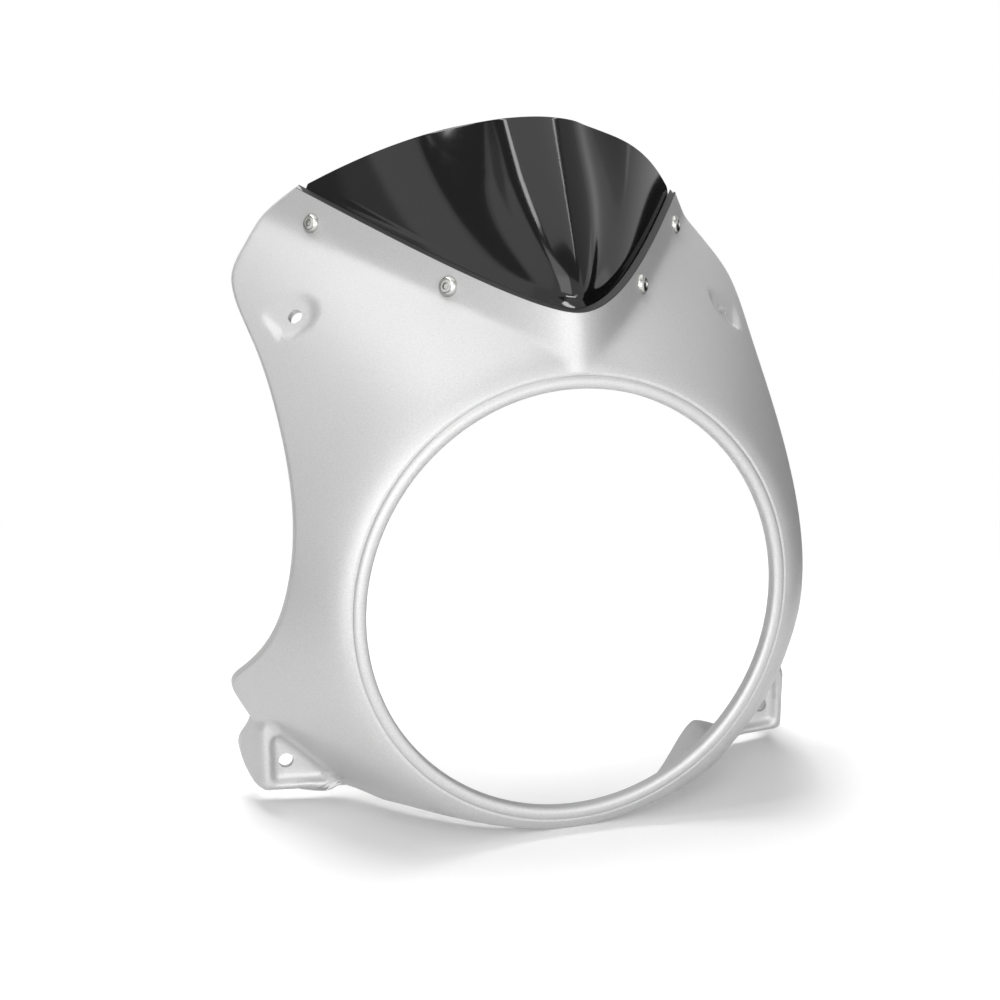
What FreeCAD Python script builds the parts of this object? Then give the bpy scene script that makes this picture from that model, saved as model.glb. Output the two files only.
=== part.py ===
import FreeCAD, Part
import os
from math import atan2, cos, exp, hypot, pi, radians, sin, sqrt

# Headlight cowl for a round seven inch lamp, with a bolted-on screen. Millimetres.
# The origin is the centre of the lamp opening, in the plane of the groove round it.
# The lamp axis is Y with the front towards -Y, X is across the vehicle and Z is up.
# The cowl is symmetric about the plane X = 0.

Vector = FreeCAD.Vector

# Shell wall and lamp opening
WALL = 3.0                     # thickness of the moulded shell
OPENING_RADIUS = 93.0          # inside of the lip round the lamp
GROOVE_RADIUS = 99.0           # centre line of the thin groove outside the bead
GROOVE_SIZE = 0.8              # radius of the groove's round section
SEAM_RADIUS = GROOVE_RADIUS - GROOVE_SIZE / 2    # where the lip's piece meets the bowl
BEAD_HEIGHT = 1.4              # how far the bead stands in front of the groove plane
LIP_WALL = 2.4                 # thickness of the lip that turns back into the opening
LIP_DEPTH = 4.0                # how far back the lip reaches

# Bowl: a cone round the lamp axis with a soft shoulder next to the groove
FLANK_SLOPE = 1.547            # rise of the flank towards the back, for each mm outwards
SHOULDER_RADIUS = 105.9        # radius where the flank would start without the soft shoulder
SHOULDER_SOFTNESS = 8.0        # width over which the shoulder turns

# Prow: the rounded V in plan above the lamp
PROW_SLOPE = 1.56              # slope of the prow's sides in plan
PROW_NOSE = 36.3               # width over which the nose of the prow is rounded
PROW_LEAN = 0.177              # how much the prow leans back for each mm upwards
CREASE_SOFTNESS = 5.0          # roundness of the crease between the bowl and the prow
CREASE_START = 10.0            # distance from the groove over which the crease opens up

# Outline of the shell in front view, right half, as X and Z
WING_TOP = (60.0, 212.7)       # above the V cut, where the wing's upper edge would end
WING_EDGE = [(99.0, 177.0), (111.0, 166.0), (121.5, 151.5), (129.0, 137.0), (128.4, 124.0)]
SIDE_EDGE = [(124.0, 108.0), (118.6, 76.0), (117.2, 43.0), (120.6, 12.0), (129.4, -18.0), (138.4, -34.0)]
TIP_EDGE = [(142.0, -40.6), (142.3, -45.0), (140.0, -50.4)]
NOTCH = (134.6, -59.5)
TAB_OUTER_EDGE = [(136.0, -66.0), (138.6, -75.0), (138.2, -84.0), (133.6, -91.6), (126.6, -97.4)]
BOTTOM_EDGE = [(113.0, -98.0), (101.0, -93.6), (86.0, -89.6), (60.0, -92.6), (44.0, -96.8), (0.0, -104.0)]

# V cut for the screen: a plane that rises towards the back
CUT_HEIGHT = 122.5             # height of the plane at Y = 0
CUT_RISE = 0.445               # rise of the plane for each mm towards the back

# Turned-back edge of the shell
EDGE_DEPTH = 6.5               # depth of the turned-back edge, measured along Y from the outer surface
TAB_BACK = 71.0                # Y where the lower tabs' edges end
TAB_BACK_PLACE = (114.0, -78.0, 24.0)   # X, Z and radius of the area that ends there
TAB_BACK_TOP = -60.0           # height where the tabs' edges join the bowl's
TAB_BACK_FALL = 1.2            # how fast the edges' end comes forwards away from that area
TAB_BACK_RISE = 2.0            # and how fast it may go back above the tab
EDGE_SOFTNESS = 4.0            # how softly these parts of the edges run into each other
LOBE_DEPTH = 21.0              # extra depth of the bottom edge's two lobes
LOBE_PLACE = 68.0              # X of the middle of a lobe
LOBE_WIDTH = 27.0              # half width of a lobe
LOBE_TOP = -78.0               # the lobes belong to what lies below this height
LOBE_FADE = 4.0                # height over which they fade out

# Upper pads, one on each side, sunk into the bowl
PAD_HOLE = (106.0, 85.0, 120.0)
PAD_HOLE_RADIUS = 3.5
PAD_AZIMUTH = 39.7             # the pad's floor faces this far outwards
PAD_ELEVATION = 31.5           # and this far upwards
PAD_RADIUS = 10.0              # round end of the floor
PAD_POINT_RADIUS = 2.0         # rounding of the floor's outer point
PAD_POINT = 15.0               # from the hole to the centre of that rounding
PAD_POINT_TURN = 4.0           # degrees that the point is turned upwards
PAD_WALL_SLOPE = 1.0           # rise of the pocket's wall for each mm outwards
PAD_REACH = 30.0               # height of the tool that sinks the pad

# Lower tabs, one on each side, with a flat land and a pocket that face forwards, as X and Z
TAB_HOLE = (120.5, -79.0)
TAB_HOLE_RADIUS = 3.4
TAB_LAND_Y = 52.0
TAB_CORNERS = [(127.5, -56.8), (91.0, -93.6), (131.4, -91.4), (131.4, -62.0)]
TAB_ROUNDING = 3.0
POCKET_CORNERS = [(126.6, -63.2), (100.0, -89.0), (126.6, -88.0)]
POCKET_ROUNDING = 2.5
TAB_SKIRT_SLOPE = 3.2          # the land's skirt falls back this much for each mm outwards
TAB_WALL_SLOPE = 2.3           # the wall between the bowl and the land rises forwards this much
TAB_REACH = 45.0               # length of the tools for skirt and wall
POCKET_DEPTH = 4.0
POCKET_WALL_SLOPE = 2.6        # rise of the pocket's wall for each mm outwards
LEAST_ROUNDING = 0.8           # rounding that is kept in the corners of small outlines

# Screen
SCREEN_WALL = 3.0
SCREEN_GAP = 0.5               # gap between the shell's back and the screen's front
SCREEN_TOP = 206.8             # top edge at X = 0
SCREEN_TOP_FALL = 0.00316      # fall of the top edge, times X squared
SCREEN_END = 92.5              # X where the top edge ends
SCREEN_EAR = (96.0, 170.5)      # outer corner of the band, hidden behind the shell
SCREEN_BAND = 21.0             # height of the band behind the shell, below the V cut
SWEEP_SLOPE = 0.56             # how far the screen's middle sweeps back for each mm upwards
SWEEP_BEND = 6.0               # height over which it turns from the band to the sweep
NOSE_HEIGHT = 5.0              # forward bulge along the middle of the screen
NOSE_WIDTH = 21.0
NOSE_START = 34.0              # height above the cut over which the bulge grows

# Screws that hold the screen, as X and Z of their places on the right
SCREW_PLACES = {"inner": (45.3, 134.0), "outer": (92.8, 161.3)}
SCREW_RADIUS = 2.5
SCREW_LENGTH = 14.0
HEAD_RADIUS = 4.75
HEAD_HEIGHT = 2.75
HEAD_CROWN = 2.2               # radius of the flat on top of the domed head
HEAD_RIM = 0.5                 # height of the head's straight rim
HEAD_BULGE = 0.4               # how far the dome stands out from a straight cone, both ways
SOCKET_ACROSS_FLATS = 3.0
SOCKET_DEPTH = 1.6
SEAT_DEPTH = 0.35              # flat seats under the head and under the washer
SEAT_CLEARANCE = 0.3
SCREW_CLEARANCE = 0.25         # round the screw, in the shell, the screen and the washer
WASHER_RADIUS = 5.0
WASHER_THICKNESS = 1.0
NUT_ACROSS_FLATS = 8.0
NUT_HEIGHT = 4.0
NUT_CHAMFER = 0.5

# Free-form surfaces: area of the points they pass through, as half width, bottom and top
SHELL_AREA = (155.0, -115.0, 220.0)
SCREEN_AREA = (115.0, 90.0, 220.0)
GRID_STEP = 5.0                # spacing of the points

DEPTH = 260.0                  # length of the solids behind the surfaces
SLOPE_STEP = 0.01              # step for the slopes of a surface


def softened(value, softness):
    """The value where it is well above 0, turning softly to 0 below."""
    return (value + sqrt(value * value + softness * softness)) / 2


def shell_front(x, z):
    """Y of the shell's outer surface: the bowl or the prow, whichever is in front."""
    radius = hypot(x, z)
    at_groove = softened(GROOVE_RADIUS - SHOULDER_RADIUS, SHOULDER_SOFTNESS)
    bowl = FLANK_SLOPE * (softened(radius - SHOULDER_RADIUS, SHOULDER_SOFTNESS) - at_groove)
    if z < 0 or radius < GROOVE_RADIUS:
        return bowl
    prow = PROW_SLOPE * x * x / (abs(x) + PROW_NOSE) + PROW_LEAN * (z - GROOVE_RADIUS)
    outside = radius - GROOVE_RADIUS
    crease = CREASE_SOFTNESS * outside / (outside + CREASE_START)
    return (bowl + prow) / 2 - sqrt((bowl - prow) ** 2 + crease * crease) / 2


def slopes(surface, x, z):
    """Slopes of a surface along X and along Z."""
    along_x = (surface(x + SLOPE_STEP, z) - surface(x - SLOPE_STEP, z)) / (2 * SLOPE_STEP)
    along_z = (surface(x, z + SLOPE_STEP) - surface(x, z - SLOPE_STEP)) / (2 * SLOPE_STEP)
    return along_x, along_z


def behind(surface, x, z, distance):
    """Y of the surface that lies this distance behind another, measured square to it."""
    along_x, along_z = slopes(surface, x, z)
    return surface(x, z) + distance * sqrt(1 + along_x ** 2 + along_z ** 2)


def shell_back(x, z):
    return behind(shell_front, x, z, WALL)


def edge_limit(x, z):
    """Y where the turned-back edges end."""
    lobe = LOBE_DEPTH * exp(-(((abs(x) - LOBE_PLACE) / LOBE_WIDTH) ** 2))
    low = 1 / (1 + exp((z - LOBE_TOP) / LOBE_FADE))
    bowl = shell_front(x, z) + EDGE_DEPTH + lobe * low
    tab_x, tab_z, reach = TAB_BACK_PLACE
    away = softened(hypot(abs(x) - tab_x, z - tab_z) - reach, EDGE_SOFTNESS)
    lowest = TAB_BACK - TAB_BACK_FALL * away
    beyond_land = softened(abs(x) - TAB_CORNERS[2][0], EDGE_SOFTNESS)
    above_tab = softened(z - TAB_BACK_TOP, EDGE_SOFTNESS)
    highest = TAB_BACK + TAB_SKIRT_SLOPE * beyond_land + TAB_BACK_RISE * above_tab
    limit = lowest + softened(bowl - lowest, EDGE_SOFTNESS)
    return limit - softened(limit - highest, EDGE_SOFTNESS)


def screen_front(x, z):
    """Y of the screen's front: along the shell's back in the band, swept back above the V cut."""
    band = behind(shell_front, x, z, WALL + SCREEN_GAP)
    above = max(z - CUT_HEIGHT - CUT_RISE * band, 0)
    across = min(abs(x) / SCREEN_END, 1)
    sweep = SWEEP_SLOPE * cos(pi * across / 2) ** 2 * above * above / (above + SWEEP_BEND)
    nose = NOSE_HEIGHT * exp(-((x / NOSE_WIDTH) ** 2)) * (above / (above + NOSE_START)) ** 2
    return band + sweep - nose


def screen_back(x, z):
    return behind(screen_front, x, z, SCREEN_WALL)


def solid_behind(surface, area=SHELL_AREA, depth=DEPTH):
    """Solid that fills the space behind a surface given as Y over X and Z."""
    half_width, bottom, top = area
    columns = int(round(2 * half_width / GRID_STEP))
    rows = int(round((top - bottom) / GRID_STEP))
    points = []
    for column in range(columns + 1):
        x = half_width * (2 * column / columns - 1)
        heights = [bottom + (top - bottom) * row / rows for row in range(rows + 1)]
        points.append([Vector(x, surface(x, z), z) for z in heights])
    sheet = Part.BSplineSurface()
    sheet.interpolate(points)
    return sheet.toShape().extrude(Vector(0, depth, 0))


def in_front_view(point):
    return Vector(point[0], 0, point[1])


def mirrored(points):
    """The same points on the left, in the opposite order."""
    return [(-x, z) for x, z in reversed(points)]


def curve_through(points):
    curve = Part.BSplineCurve()
    curve.interpolate([in_front_view(point) for point in points])
    return curve.toShape()


def line_between(start, end):
    return Part.makeLine(in_front_view(start), in_front_view(end))


def shell_outline():
    """Closed outline of the shell in front view, in the plane Y = 0."""
    bottom = BOTTOM_EDGE + mirrored(BOTTOM_EDGE[:-1])
    right = [
        line_between(WING_TOP, WING_EDGE[0]),
        curve_through(WING_EDGE + SIDE_EDGE + TIP_EDGE + [NOTCH]),
        curve_through([NOTCH] + TAB_OUTER_EDGE),
        line_between(TAB_OUTER_EDGE[-1], BOTTOM_EDGE[0]),
    ]
    left = [edge.mirror(Vector(0, 0, 0), Vector(1, 0, 0)) for edge in right]
    closing = [curve_through(bottom), line_between(WING_TOP, (-WING_TOP[0], WING_TOP[1]))]
    return Part.Wire(Part.__sortEdges__(right + closing + left))


def prism(wire):
    """Solid over a closed outline in front view, through the whole depth."""
    face = Part.Face(wire)
    face.translate(Vector(0, -DEPTH / 4, 0))
    return face.extrude(Vector(0, 2 * DEPTH, 0))


def above_cut(lowered=0.0):
    """Everything above the plane of the V cut, or above a plane lowered from it."""
    start = Vector(-DEPTH, -DEPTH / 4, CUT_HEIGHT - lowered - CUT_RISE * DEPTH / 4)
    end = Vector(-DEPTH, DEPTH, CUT_HEIGHT - lowered + CUT_RISE * DEPTH)
    up = Vector(0, 0, DEPTH)
    side = Part.Face(Part.makePolygon([start, end, end + up, start + up, start]))
    return side.extrude(Vector(2 * DEPTH, 0, 0))


class Frame:
    """A place with two directions in a plane, across and up, and the normal they make."""

    def __init__(self, origin, across, up):
        self.origin = origin
        self.across = across
        self.up = up
        self.normal = across.cross(up)

    def point(self, u, v, height):
        return self.origin + self.across * u + self.up * v + self.normal * height


def grown(corners, distance):
    """A convex outline moved outwards by the distance; its corners run anticlockwise."""
    result = []
    count = len(corners)
    for index in range(count):
        before, here, after = corners[index - 1], corners[index], corners[(index + 1) % count]
        into = Vector(here[0] - before[0], here[1] - before[1], 0).normalize()
        onward = Vector(after[0] - here[0], after[1] - here[1], 0).normalize()
        shift = distance / (1 + into.dot(onward))
        move_u = (into.y + onward.y) * shift
        move_v = -(into.x + onward.x) * shift
        result.append((here[0] + move_u, here[1] + move_v))
    return result


def rounded_polygon(frame, corners, rounding, distance, height):
    """Wire of a convex outline with rounded corners, grown by the distance."""
    radius = max(rounding + distance, LEAST_ROUNDING)
    outer = grown(corners, distance)
    inner = grown(outer, -radius)
    count = len(corners)
    edges = []
    for index in range(count):
        here, after = inner[index], inner[(index + 1) % count]
        corner = outer[index]
        before = inner[index - 1]
        into = Vector(here[0] - before[0], here[1] - before[1], 0).normalize()
        onward = Vector(after[0] - here[0], after[1] - here[1], 0).normalize()
        middle = Vector(corner[0] - here[0], corner[1] - here[1], 0).normalize()
        start = frame.point(here[0] + into.y * radius, here[1] - into.x * radius, height)
        half = frame.point(here[0] + middle.x * radius, here[1] + middle.y * radius, height)
        end = frame.point(here[0] + onward.y * radius, here[1] - onward.x * radius, height)
        following = frame.point(after[0] + onward.y * radius, after[1] - onward.x * radius, height)
        edges.append(Part.Arc(start, half, end).toShape())
        edges.append(Part.makeLine(end, following))
    return Part.Wire(edges)


def teardrop(frame, distance, height):
    """Wire round the pad's hole with a point outwards, grown by the distance."""
    big = PAD_RADIUS + distance
    small = PAD_POINT_RADIUS + distance
    turn = radians(PAD_POINT_TURN)
    touch = pi / 2 - atan2(big - small, sqrt(PAD_POINT ** 2 - (big - small) ** 2))

    def on(centre, radius, angle):
        u = centre * cos(turn) + radius * cos(angle + turn)
        v = centre * sin(turn) + radius * sin(angle + turn)
        return frame.point(u, v, height)

    round_end = Part.Arc(on(0, big, touch), on(0, big, pi), on(0, big, -touch)).toShape()
    lower = Part.makeLine(on(0, big, -touch), on(PAD_POINT, small, -touch))
    point = Part.Arc(on(PAD_POINT, small, -touch), on(PAD_POINT, small, 0), on(PAD_POINT, small, touch))
    upper = Part.makeLine(on(PAD_POINT, small, touch), on(0, big, touch))
    return Part.Wire([round_end, lower, point.toShape(), upper])


def between(first, second):
    """Solid between two like outlines."""
    return Part.makeLoft([first, second], True, True)


def setback(slope):
    """How far a sloping wall of the shell's thickness moves sideways, in the plane behind its floor."""
    return WALL * (sqrt(1 + slope * slope) - 1) / slope


def pad_frame():
    """The right pad's floor: the hole's centre, with the point outwards along the first direction."""
    azimuth = radians(PAD_AZIMUTH)
    elevation = radians(PAD_ELEVATION)
    across = Vector(cos(azimuth), sin(azimuth), 0)
    normal = Vector(sin(azimuth) * cos(elevation), -cos(azimuth) * cos(elevation), sin(elevation))
    return Frame(Vector(*PAD_HOLE), across, normal.cross(across))


def pad_tool(inside):
    """What sinks the right pad; the one for the inside is larger by the wall."""
    growth = setback(PAD_WALL_SLOPE) if inside else 0.0
    floor = -WALL if inside else 0.0
    near = teardrop(pad_frame(), growth, floor)
    far = teardrop(pad_frame(), growth + PAD_REACH / PAD_WALL_SLOPE, floor + PAD_REACH)
    return between(near, far)


def tab_frame():
    """Front view at the right tab's land, with heights in front of the land."""
    return Frame(Vector(0, TAB_LAND_Y, 0), Vector(1, 0, 0), Vector(0, 0, 1))


def tab_outline(distance, height):
    """Outline round the right tab's land, grown by the distance."""
    return rounded_polygon(tab_frame(), TAB_CORNERS, TAB_ROUNDING, distance, height)


def pocket_outline(distance, height):
    """Outline round the floor of the right tab's pocket, grown by the distance."""
    return rounded_polygon(tab_frame(), POCKET_CORNERS, POCKET_ROUNDING, distance, height)


def tab_skirt(inside):
    """The body of the right tab, from its land's plane backwards."""
    start = -setback(TAB_SKIRT_SLOPE) - WALL / TAB_SKIRT_SLOPE if inside else 0.0
    return between(tab_outline(start, 0), tab_outline(start + TAB_REACH / TAB_SKIRT_SLOPE, -TAB_REACH))


def tab_wall(inside):
    """What cuts the bowl away in front of the right tab's land."""
    start = setback(TAB_WALL_SLOPE) if inside else 0.0
    depth = WALL if inside else 0.0
    far = start + TAB_REACH / TAB_WALL_SLOPE
    return between(tab_outline(start, -depth), tab_outline(far, TAB_REACH - depth))


def tab_pocket(inside):
    """The pocket in the right tab's land."""
    start = setback(POCKET_WALL_SLOPE) if inside else 0.0
    depth = POCKET_DEPTH + WALL if inside else POCKET_DEPTH
    rim = start + (POCKET_DEPTH + WALL) / POCKET_WALL_SLOPE
    return between(pocket_outline(start, -depth), pocket_outline(rim, POCKET_DEPTH + WALL - depth))


def turned(points_and_arcs):
    """Ring about the lamp axis from a closed profile given as edges with X the radius."""
    face = Part.Face(Part.Wire(points_and_arcs))
    return face.revolve(Vector(0, 0, 0), Vector(0, 1, 0), 360)


def lamp_ring():
    """The bead and the lip that turns back, with a tongue that runs into the shell's wall."""
    outer = SEAM_RADIUS
    lip = OPENING_RADIUS + LIP_WALL
    middle = (OPENING_RADIUS + outer) / 2
    tongue = GROOVE_RADIUS + 2 * GROOVE_SIZE
    front = Vector(OPENING_RADIUS, GROOVE_SIZE / 2, 0)
    crown = Vector(middle, -BEAD_HEIGHT, 0)
    groove = Vector(outer, GROOVE_SIZE / 2, 0)
    profile = [
        Part.Arc(front, crown, groove).toShape(),
        Part.makeLine(groove, Vector(outer, WALL / 2 - GROOVE_SIZE / 2, 0)),
        Part.makeLine(Vector(outer, WALL / 2 - GROOVE_SIZE / 2, 0), Vector(tongue, WALL / 2, 0)),
        Part.makeLine(Vector(tongue, WALL / 2, 0), Vector(tongue, WALL - GROOVE_SIZE / 2, 0)),
        Part.makeLine(Vector(tongue, WALL - GROOVE_SIZE / 2, 0), Vector(lip, WALL - GROOVE_SIZE / 2, 0)),
        Part.makeLine(Vector(lip, WALL - GROOVE_SIZE / 2, 0), Vector(lip, LIP_DEPTH, 0)),
        Part.makeLine(Vector(lip, LIP_DEPTH, 0), Vector(OPENING_RADIUS, LIP_DEPTH, 0)),
        Part.makeLine(Vector(OPENING_RADIUS, LIP_DEPTH, 0), front),
    ]
    return turned(profile)


def placed(shape, place):
    """A shape made along +Z, moved to a right-hand screw's seat with +Z along the shell's normal."""
    x, z = SCREW_PLACES[place]
    along_x, along_z = slopes(shell_front, x, z)
    normal = Vector(along_x, -1, along_z).normalize()
    seat = Vector(x, shell_front(x, z), z) - normal * SEAT_DEPTH
    result = shape.copy()
    result.Placement = FreeCAD.Placement(seat, FreeCAD.Rotation(Vector(0, 0, 1), normal))
    return result


def left_of(shape):
    """The shape's mirror image on the left."""
    return shape.mirror(Vector(0, 0, 0), Vector(1, 0, 0))


def rod(radius, bottom, top):
    return Part.makeCylinder(radius, top - bottom, Vector(0, 0, bottom))


def hexagon(across_flats, bottom, top):
    radius = across_flats / sqrt(3)
    corners = [Vector(radius * cos(i * pi / 3), radius * sin(i * pi / 3), bottom) for i in range(7)]
    return Part.Face(Part.makePolygon(corners)).extrude(Vector(0, 0, top - bottom))


def screw_shape():
    """Button head above the seat, shank below it."""
    centre = Vector(0, 0, 0)
    edge = Vector(HEAD_RADIUS, 0, 0)
    rim = Vector(HEAD_RADIUS, 0, HEAD_RIM)
    crown = Vector(HEAD_CROWN, 0, HEAD_HEIGHT)
    top = Vector(0, 0, HEAD_HEIGHT)
    middle = (rim + crown) * 0.5 + Vector(HEAD_BULGE, 0, HEAD_BULGE)
    dome = [
        Part.makeLine(centre, edge),
        Part.makeLine(edge, rim),
        Part.Arc(rim, middle, crown).toShape(),
        Part.makeLine(crown, top),
        Part.makeLine(top, centre),
    ]
    head = Part.Face(Part.Wire(dome)).revolve(centre, Vector(0, 0, 1), 360)
    shank = rod(SCREW_RADIUS, -SCREW_LENGTH, HEAD_RIM)
    return head.fuse(shank).cut(hexagon(SOCKET_ACROSS_FLATS, HEAD_HEIGHT - SOCKET_DEPTH, HEAD_HEIGHT + 1))


def washer_seat():
    """Distance from the head's seat back to the washer's face on the screen."""
    return WALL + SCREEN_GAP + SCREEN_WALL - 2 * SEAT_DEPTH


def washer_shape():
    top = -washer_seat()
    ring = rod(WASHER_RADIUS, top - WASHER_THICKNESS, top)
    return ring.cut(rod(SCREW_RADIUS + SCREW_CLEARANCE, top - 2 * WASHER_THICKNESS, top + WASHER_THICKNESS))


def nut_shape():
    """Hex nut with its corners turned down on both faces."""
    top = -washer_seat() - WASHER_THICKNESS
    body = hexagon(NUT_ACROSS_FLATS, top - NUT_HEIGHT, top)
    corner = NUT_ACROSS_FLATS / sqrt(3)
    flat = NUT_ACROSS_FLATS / 2
    turned_down = Part.makeCone(flat, flat + NUT_HEIGHT, NUT_HEIGHT, Vector(0, 0, top - NUT_HEIGHT))
    turned_up = Part.makeCone(flat + NUT_HEIGHT, flat, NUT_HEIGHT, Vector(0, 0, top - NUT_HEIGHT))
    body = body.common(turned_down.fuse(rod(corner, top - NUT_HEIGHT + NUT_CHAMFER, top)))
    body = body.common(turned_up.fuse(rod(corner, top - NUT_HEIGHT, top - NUT_CHAMFER)))
    return body.cut(rod(SCREW_RADIUS, top - 2 * NUT_HEIGHT, top + 1))


def both(shape):
    return [shape, left_of(shape)]


def trimmed(body, outline, inside):
    """The body with the tabs and pads, inside an outline in front view."""
    body = body.fuse(both(tab_skirt(inside)))
    body = body.common(prism(outline))
    return body.cut(both(tab_wall(inside)) + both(tab_pocket(inside)) + both(pad_tool(inside)))


def cowl_shell():
    outline = shell_outline()
    inner_outline = outline.makeOffset2D(-WALL).toNurbs()
    outside = trimmed(solid_behind(shell_front), outline, False)
    inside = trimmed(solid_behind(shell_back), inner_outline, True)
    outside = outside.cut(above_cut()).cut(solid_behind(edge_limit, depth=2 * DEPTH))
    lamp = Part.makeCylinder(SEAM_RADIUS, DEPTH, Vector(0, -DEPTH / 4, 0), Vector(0, 1, 0))
    shell = outside.cut(inside).cut(lamp).fuse(lamp_ring())
    groove = Part.makeTorus(GROOVE_RADIUS, GROOVE_SIZE, Vector(0, 0, 0), Vector(0, 1, 0))
    pad = pad_frame()
    pad_hole = Part.makeCylinder(PAD_HOLE_RADIUS, 4 * WALL, pad.point(0, 0, -2 * WALL), pad.normal)
    tab_start = Vector(TAB_HOLE[0], TAB_LAND_Y, TAB_HOLE[1])
    tab_hole = Part.makeCylinder(TAB_HOLE_RADIUS, 4 * WALL, tab_start, Vector(0, 1, 0))
    holes = [groove] + both(pad_hole) + both(tab_hole)
    for place in SCREW_PLACES:
        holes += both(placed(rod(SCREW_RADIUS + SCREW_CLEARANCE, -2 * WALL, 2 * WALL), place))
        holes += both(placed(rod(HEAD_RADIUS + SEAT_CLEARANCE, 0, 2 * WALL), place))
    return shell.cut(holes)


def screen_outline():
    """Closed outline of the screen in front view; its lower edge lies below the band."""
    end = (SCREEN_END, SCREEN_TOP - SCREEN_TOP_FALL * SCREEN_END ** 2)
    step = SCREEN_END / 4
    places = [SCREEN_END - step * index for index in range(9)]
    top = [(x, SCREEN_TOP - SCREEN_TOP_FALL * x * x) for x in places]
    low = (SCREEN_EAR[0], GROOVE_RADIUS)
    right = [line_between(end, SCREEN_EAR), line_between(SCREEN_EAR, low)]
    closing = [curve_through(top), line_between(low, (-low[0], low[1]))]
    return Part.Wire(Part.__sortEdges__(right + closing + [left_of(edge) for edge in right]))


def screen():
    sheet = solid_behind(screen_front, SCREEN_AREA).cut(solid_behind(screen_back, SCREEN_AREA))
    sheet = sheet.common(prism(screen_outline())).common(above_cut(SCREEN_BAND))
    holes = []
    for place in SCREW_PLACES:
        holes += both(placed(rod(SCREW_RADIUS + SCREW_CLEARANCE, -4 * WALL, 0), place))
        holes += both(placed(rod(WASHER_RADIUS + SEAT_CLEARANCE, -4 * WALL, -washer_seat()), place))
    return sheet.cut(holes)


def export(name, shape):
    """Write one piece as a checked, valid shape."""
    if not shape.isValid() or len(shape.Solids) != 1:
        raise ValueError(name + " isn't one valid solid")
    shape.Solids[0].exportStep("parts/" + name + ".step")


def main():
    os.makedirs("parts", exist_ok=True)
    export("cowl_shell", cowl_shell())
    export("screen", screen())
    fasteners = {"screw": screw_shape(), "washer": washer_shape(), "nut": nut_shape()}
    for place in SCREW_PLACES:
        for kind, shape in fasteners.items():
            right = placed(shape, place)
            export("screen_" + kind + "_" + place + "_right", right)
            export("screen_" + kind + "_" + place + "_left", left_of(right))


main()
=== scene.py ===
"""Headlight cowl with a bolted-on screen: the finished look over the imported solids.

Lengths inside the functions are in millimetres, in the frame of the solids: the origin is the centre
of the lamp opening, Y points back along the lamp axis and Z points up. The properties are in metres.
"""

from math import cos, pi, radians, sin, sqrt

import bpy
import numpy as np
from mathutils import Matrix, Vector


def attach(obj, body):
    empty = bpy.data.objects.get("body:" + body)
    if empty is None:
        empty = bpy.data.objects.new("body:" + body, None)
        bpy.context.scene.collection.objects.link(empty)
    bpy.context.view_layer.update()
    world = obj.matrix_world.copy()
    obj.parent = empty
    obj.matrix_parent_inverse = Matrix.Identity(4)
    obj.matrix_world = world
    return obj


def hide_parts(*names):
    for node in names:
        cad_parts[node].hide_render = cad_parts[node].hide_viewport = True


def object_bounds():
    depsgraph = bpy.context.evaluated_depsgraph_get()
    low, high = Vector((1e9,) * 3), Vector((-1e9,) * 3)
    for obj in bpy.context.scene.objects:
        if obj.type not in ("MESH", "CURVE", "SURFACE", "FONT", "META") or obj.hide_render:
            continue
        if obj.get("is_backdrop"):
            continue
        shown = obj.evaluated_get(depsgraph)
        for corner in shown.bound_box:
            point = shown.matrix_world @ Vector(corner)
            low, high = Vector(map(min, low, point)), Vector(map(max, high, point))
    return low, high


bl_info = {
    "name": "Headlight Cowl",
    "version": (1, 0, 0),
    "blender": (4, 5, 0),
    "location": "3D View > Sidebar > Cowl",
    "description": "Builds the cowl, its screen and its screws with their finishes, and a studio",
    "category": "Object",
}

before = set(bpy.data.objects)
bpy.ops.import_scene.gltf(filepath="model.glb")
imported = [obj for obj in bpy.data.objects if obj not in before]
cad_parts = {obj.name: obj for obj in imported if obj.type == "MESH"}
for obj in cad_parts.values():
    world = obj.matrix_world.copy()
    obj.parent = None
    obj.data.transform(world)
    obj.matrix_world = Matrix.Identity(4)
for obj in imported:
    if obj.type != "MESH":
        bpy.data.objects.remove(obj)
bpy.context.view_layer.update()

MM = 0.001
PLACES = ("outer_left", "inner_left", "inner_right", "outer_right")
WHITE = (1.0, 1.0, 1.0, 1.0)

# Form of the shell, as in the source of the solids
GROOVE_SIZE = 0.8
BEAD_HEIGHT = 1.4
LIP_WALL = 2.4
LIP_DEPTH = 4.0
FLANK_SLOPE = 1.547
SHOULDER_RADIUS = 105.9
SHOULDER_SOFTNESS = 8.0
PROW_SLOPE = 1.56
PROW_NOSE = 36.3
PROW_LEAN = 0.177
CREASE_SOFTNESS = 5.0
CREASE_START = 10.0

# Outline of the right half in front view, from the top of the wing down to the middle
WING_TOP = (60.0, 212.7)
WING_EDGE = [(99.0, 177.0), (111.0, 166.0), (121.5, 151.5), (129.0, 137.0), (128.4, 124.0)]
SIDE_EDGE = [(124.0, 108.0), (118.6, 76.0), (117.2, 43.0), (120.6, 12.0), (129.4, -18.0), (138.4, -34.0)]
TIP_EDGE = [(142.0, -40.6), (142.3, -45.0), (140.0, -50.4)]
NOTCH = (134.6, -59.5)
TAB_OUTER_EDGE = [(136.0, -66.0), (138.6, -75.0), (138.2, -84.0), (133.6, -91.6), (126.6, -97.4)]
BOTTOM_EDGE = [(113.0, -98.0), (101.0, -93.6), (86.0, -89.6), (60.0, -92.6), (44.0, -96.8), (0.0, -104.0)]

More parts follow.
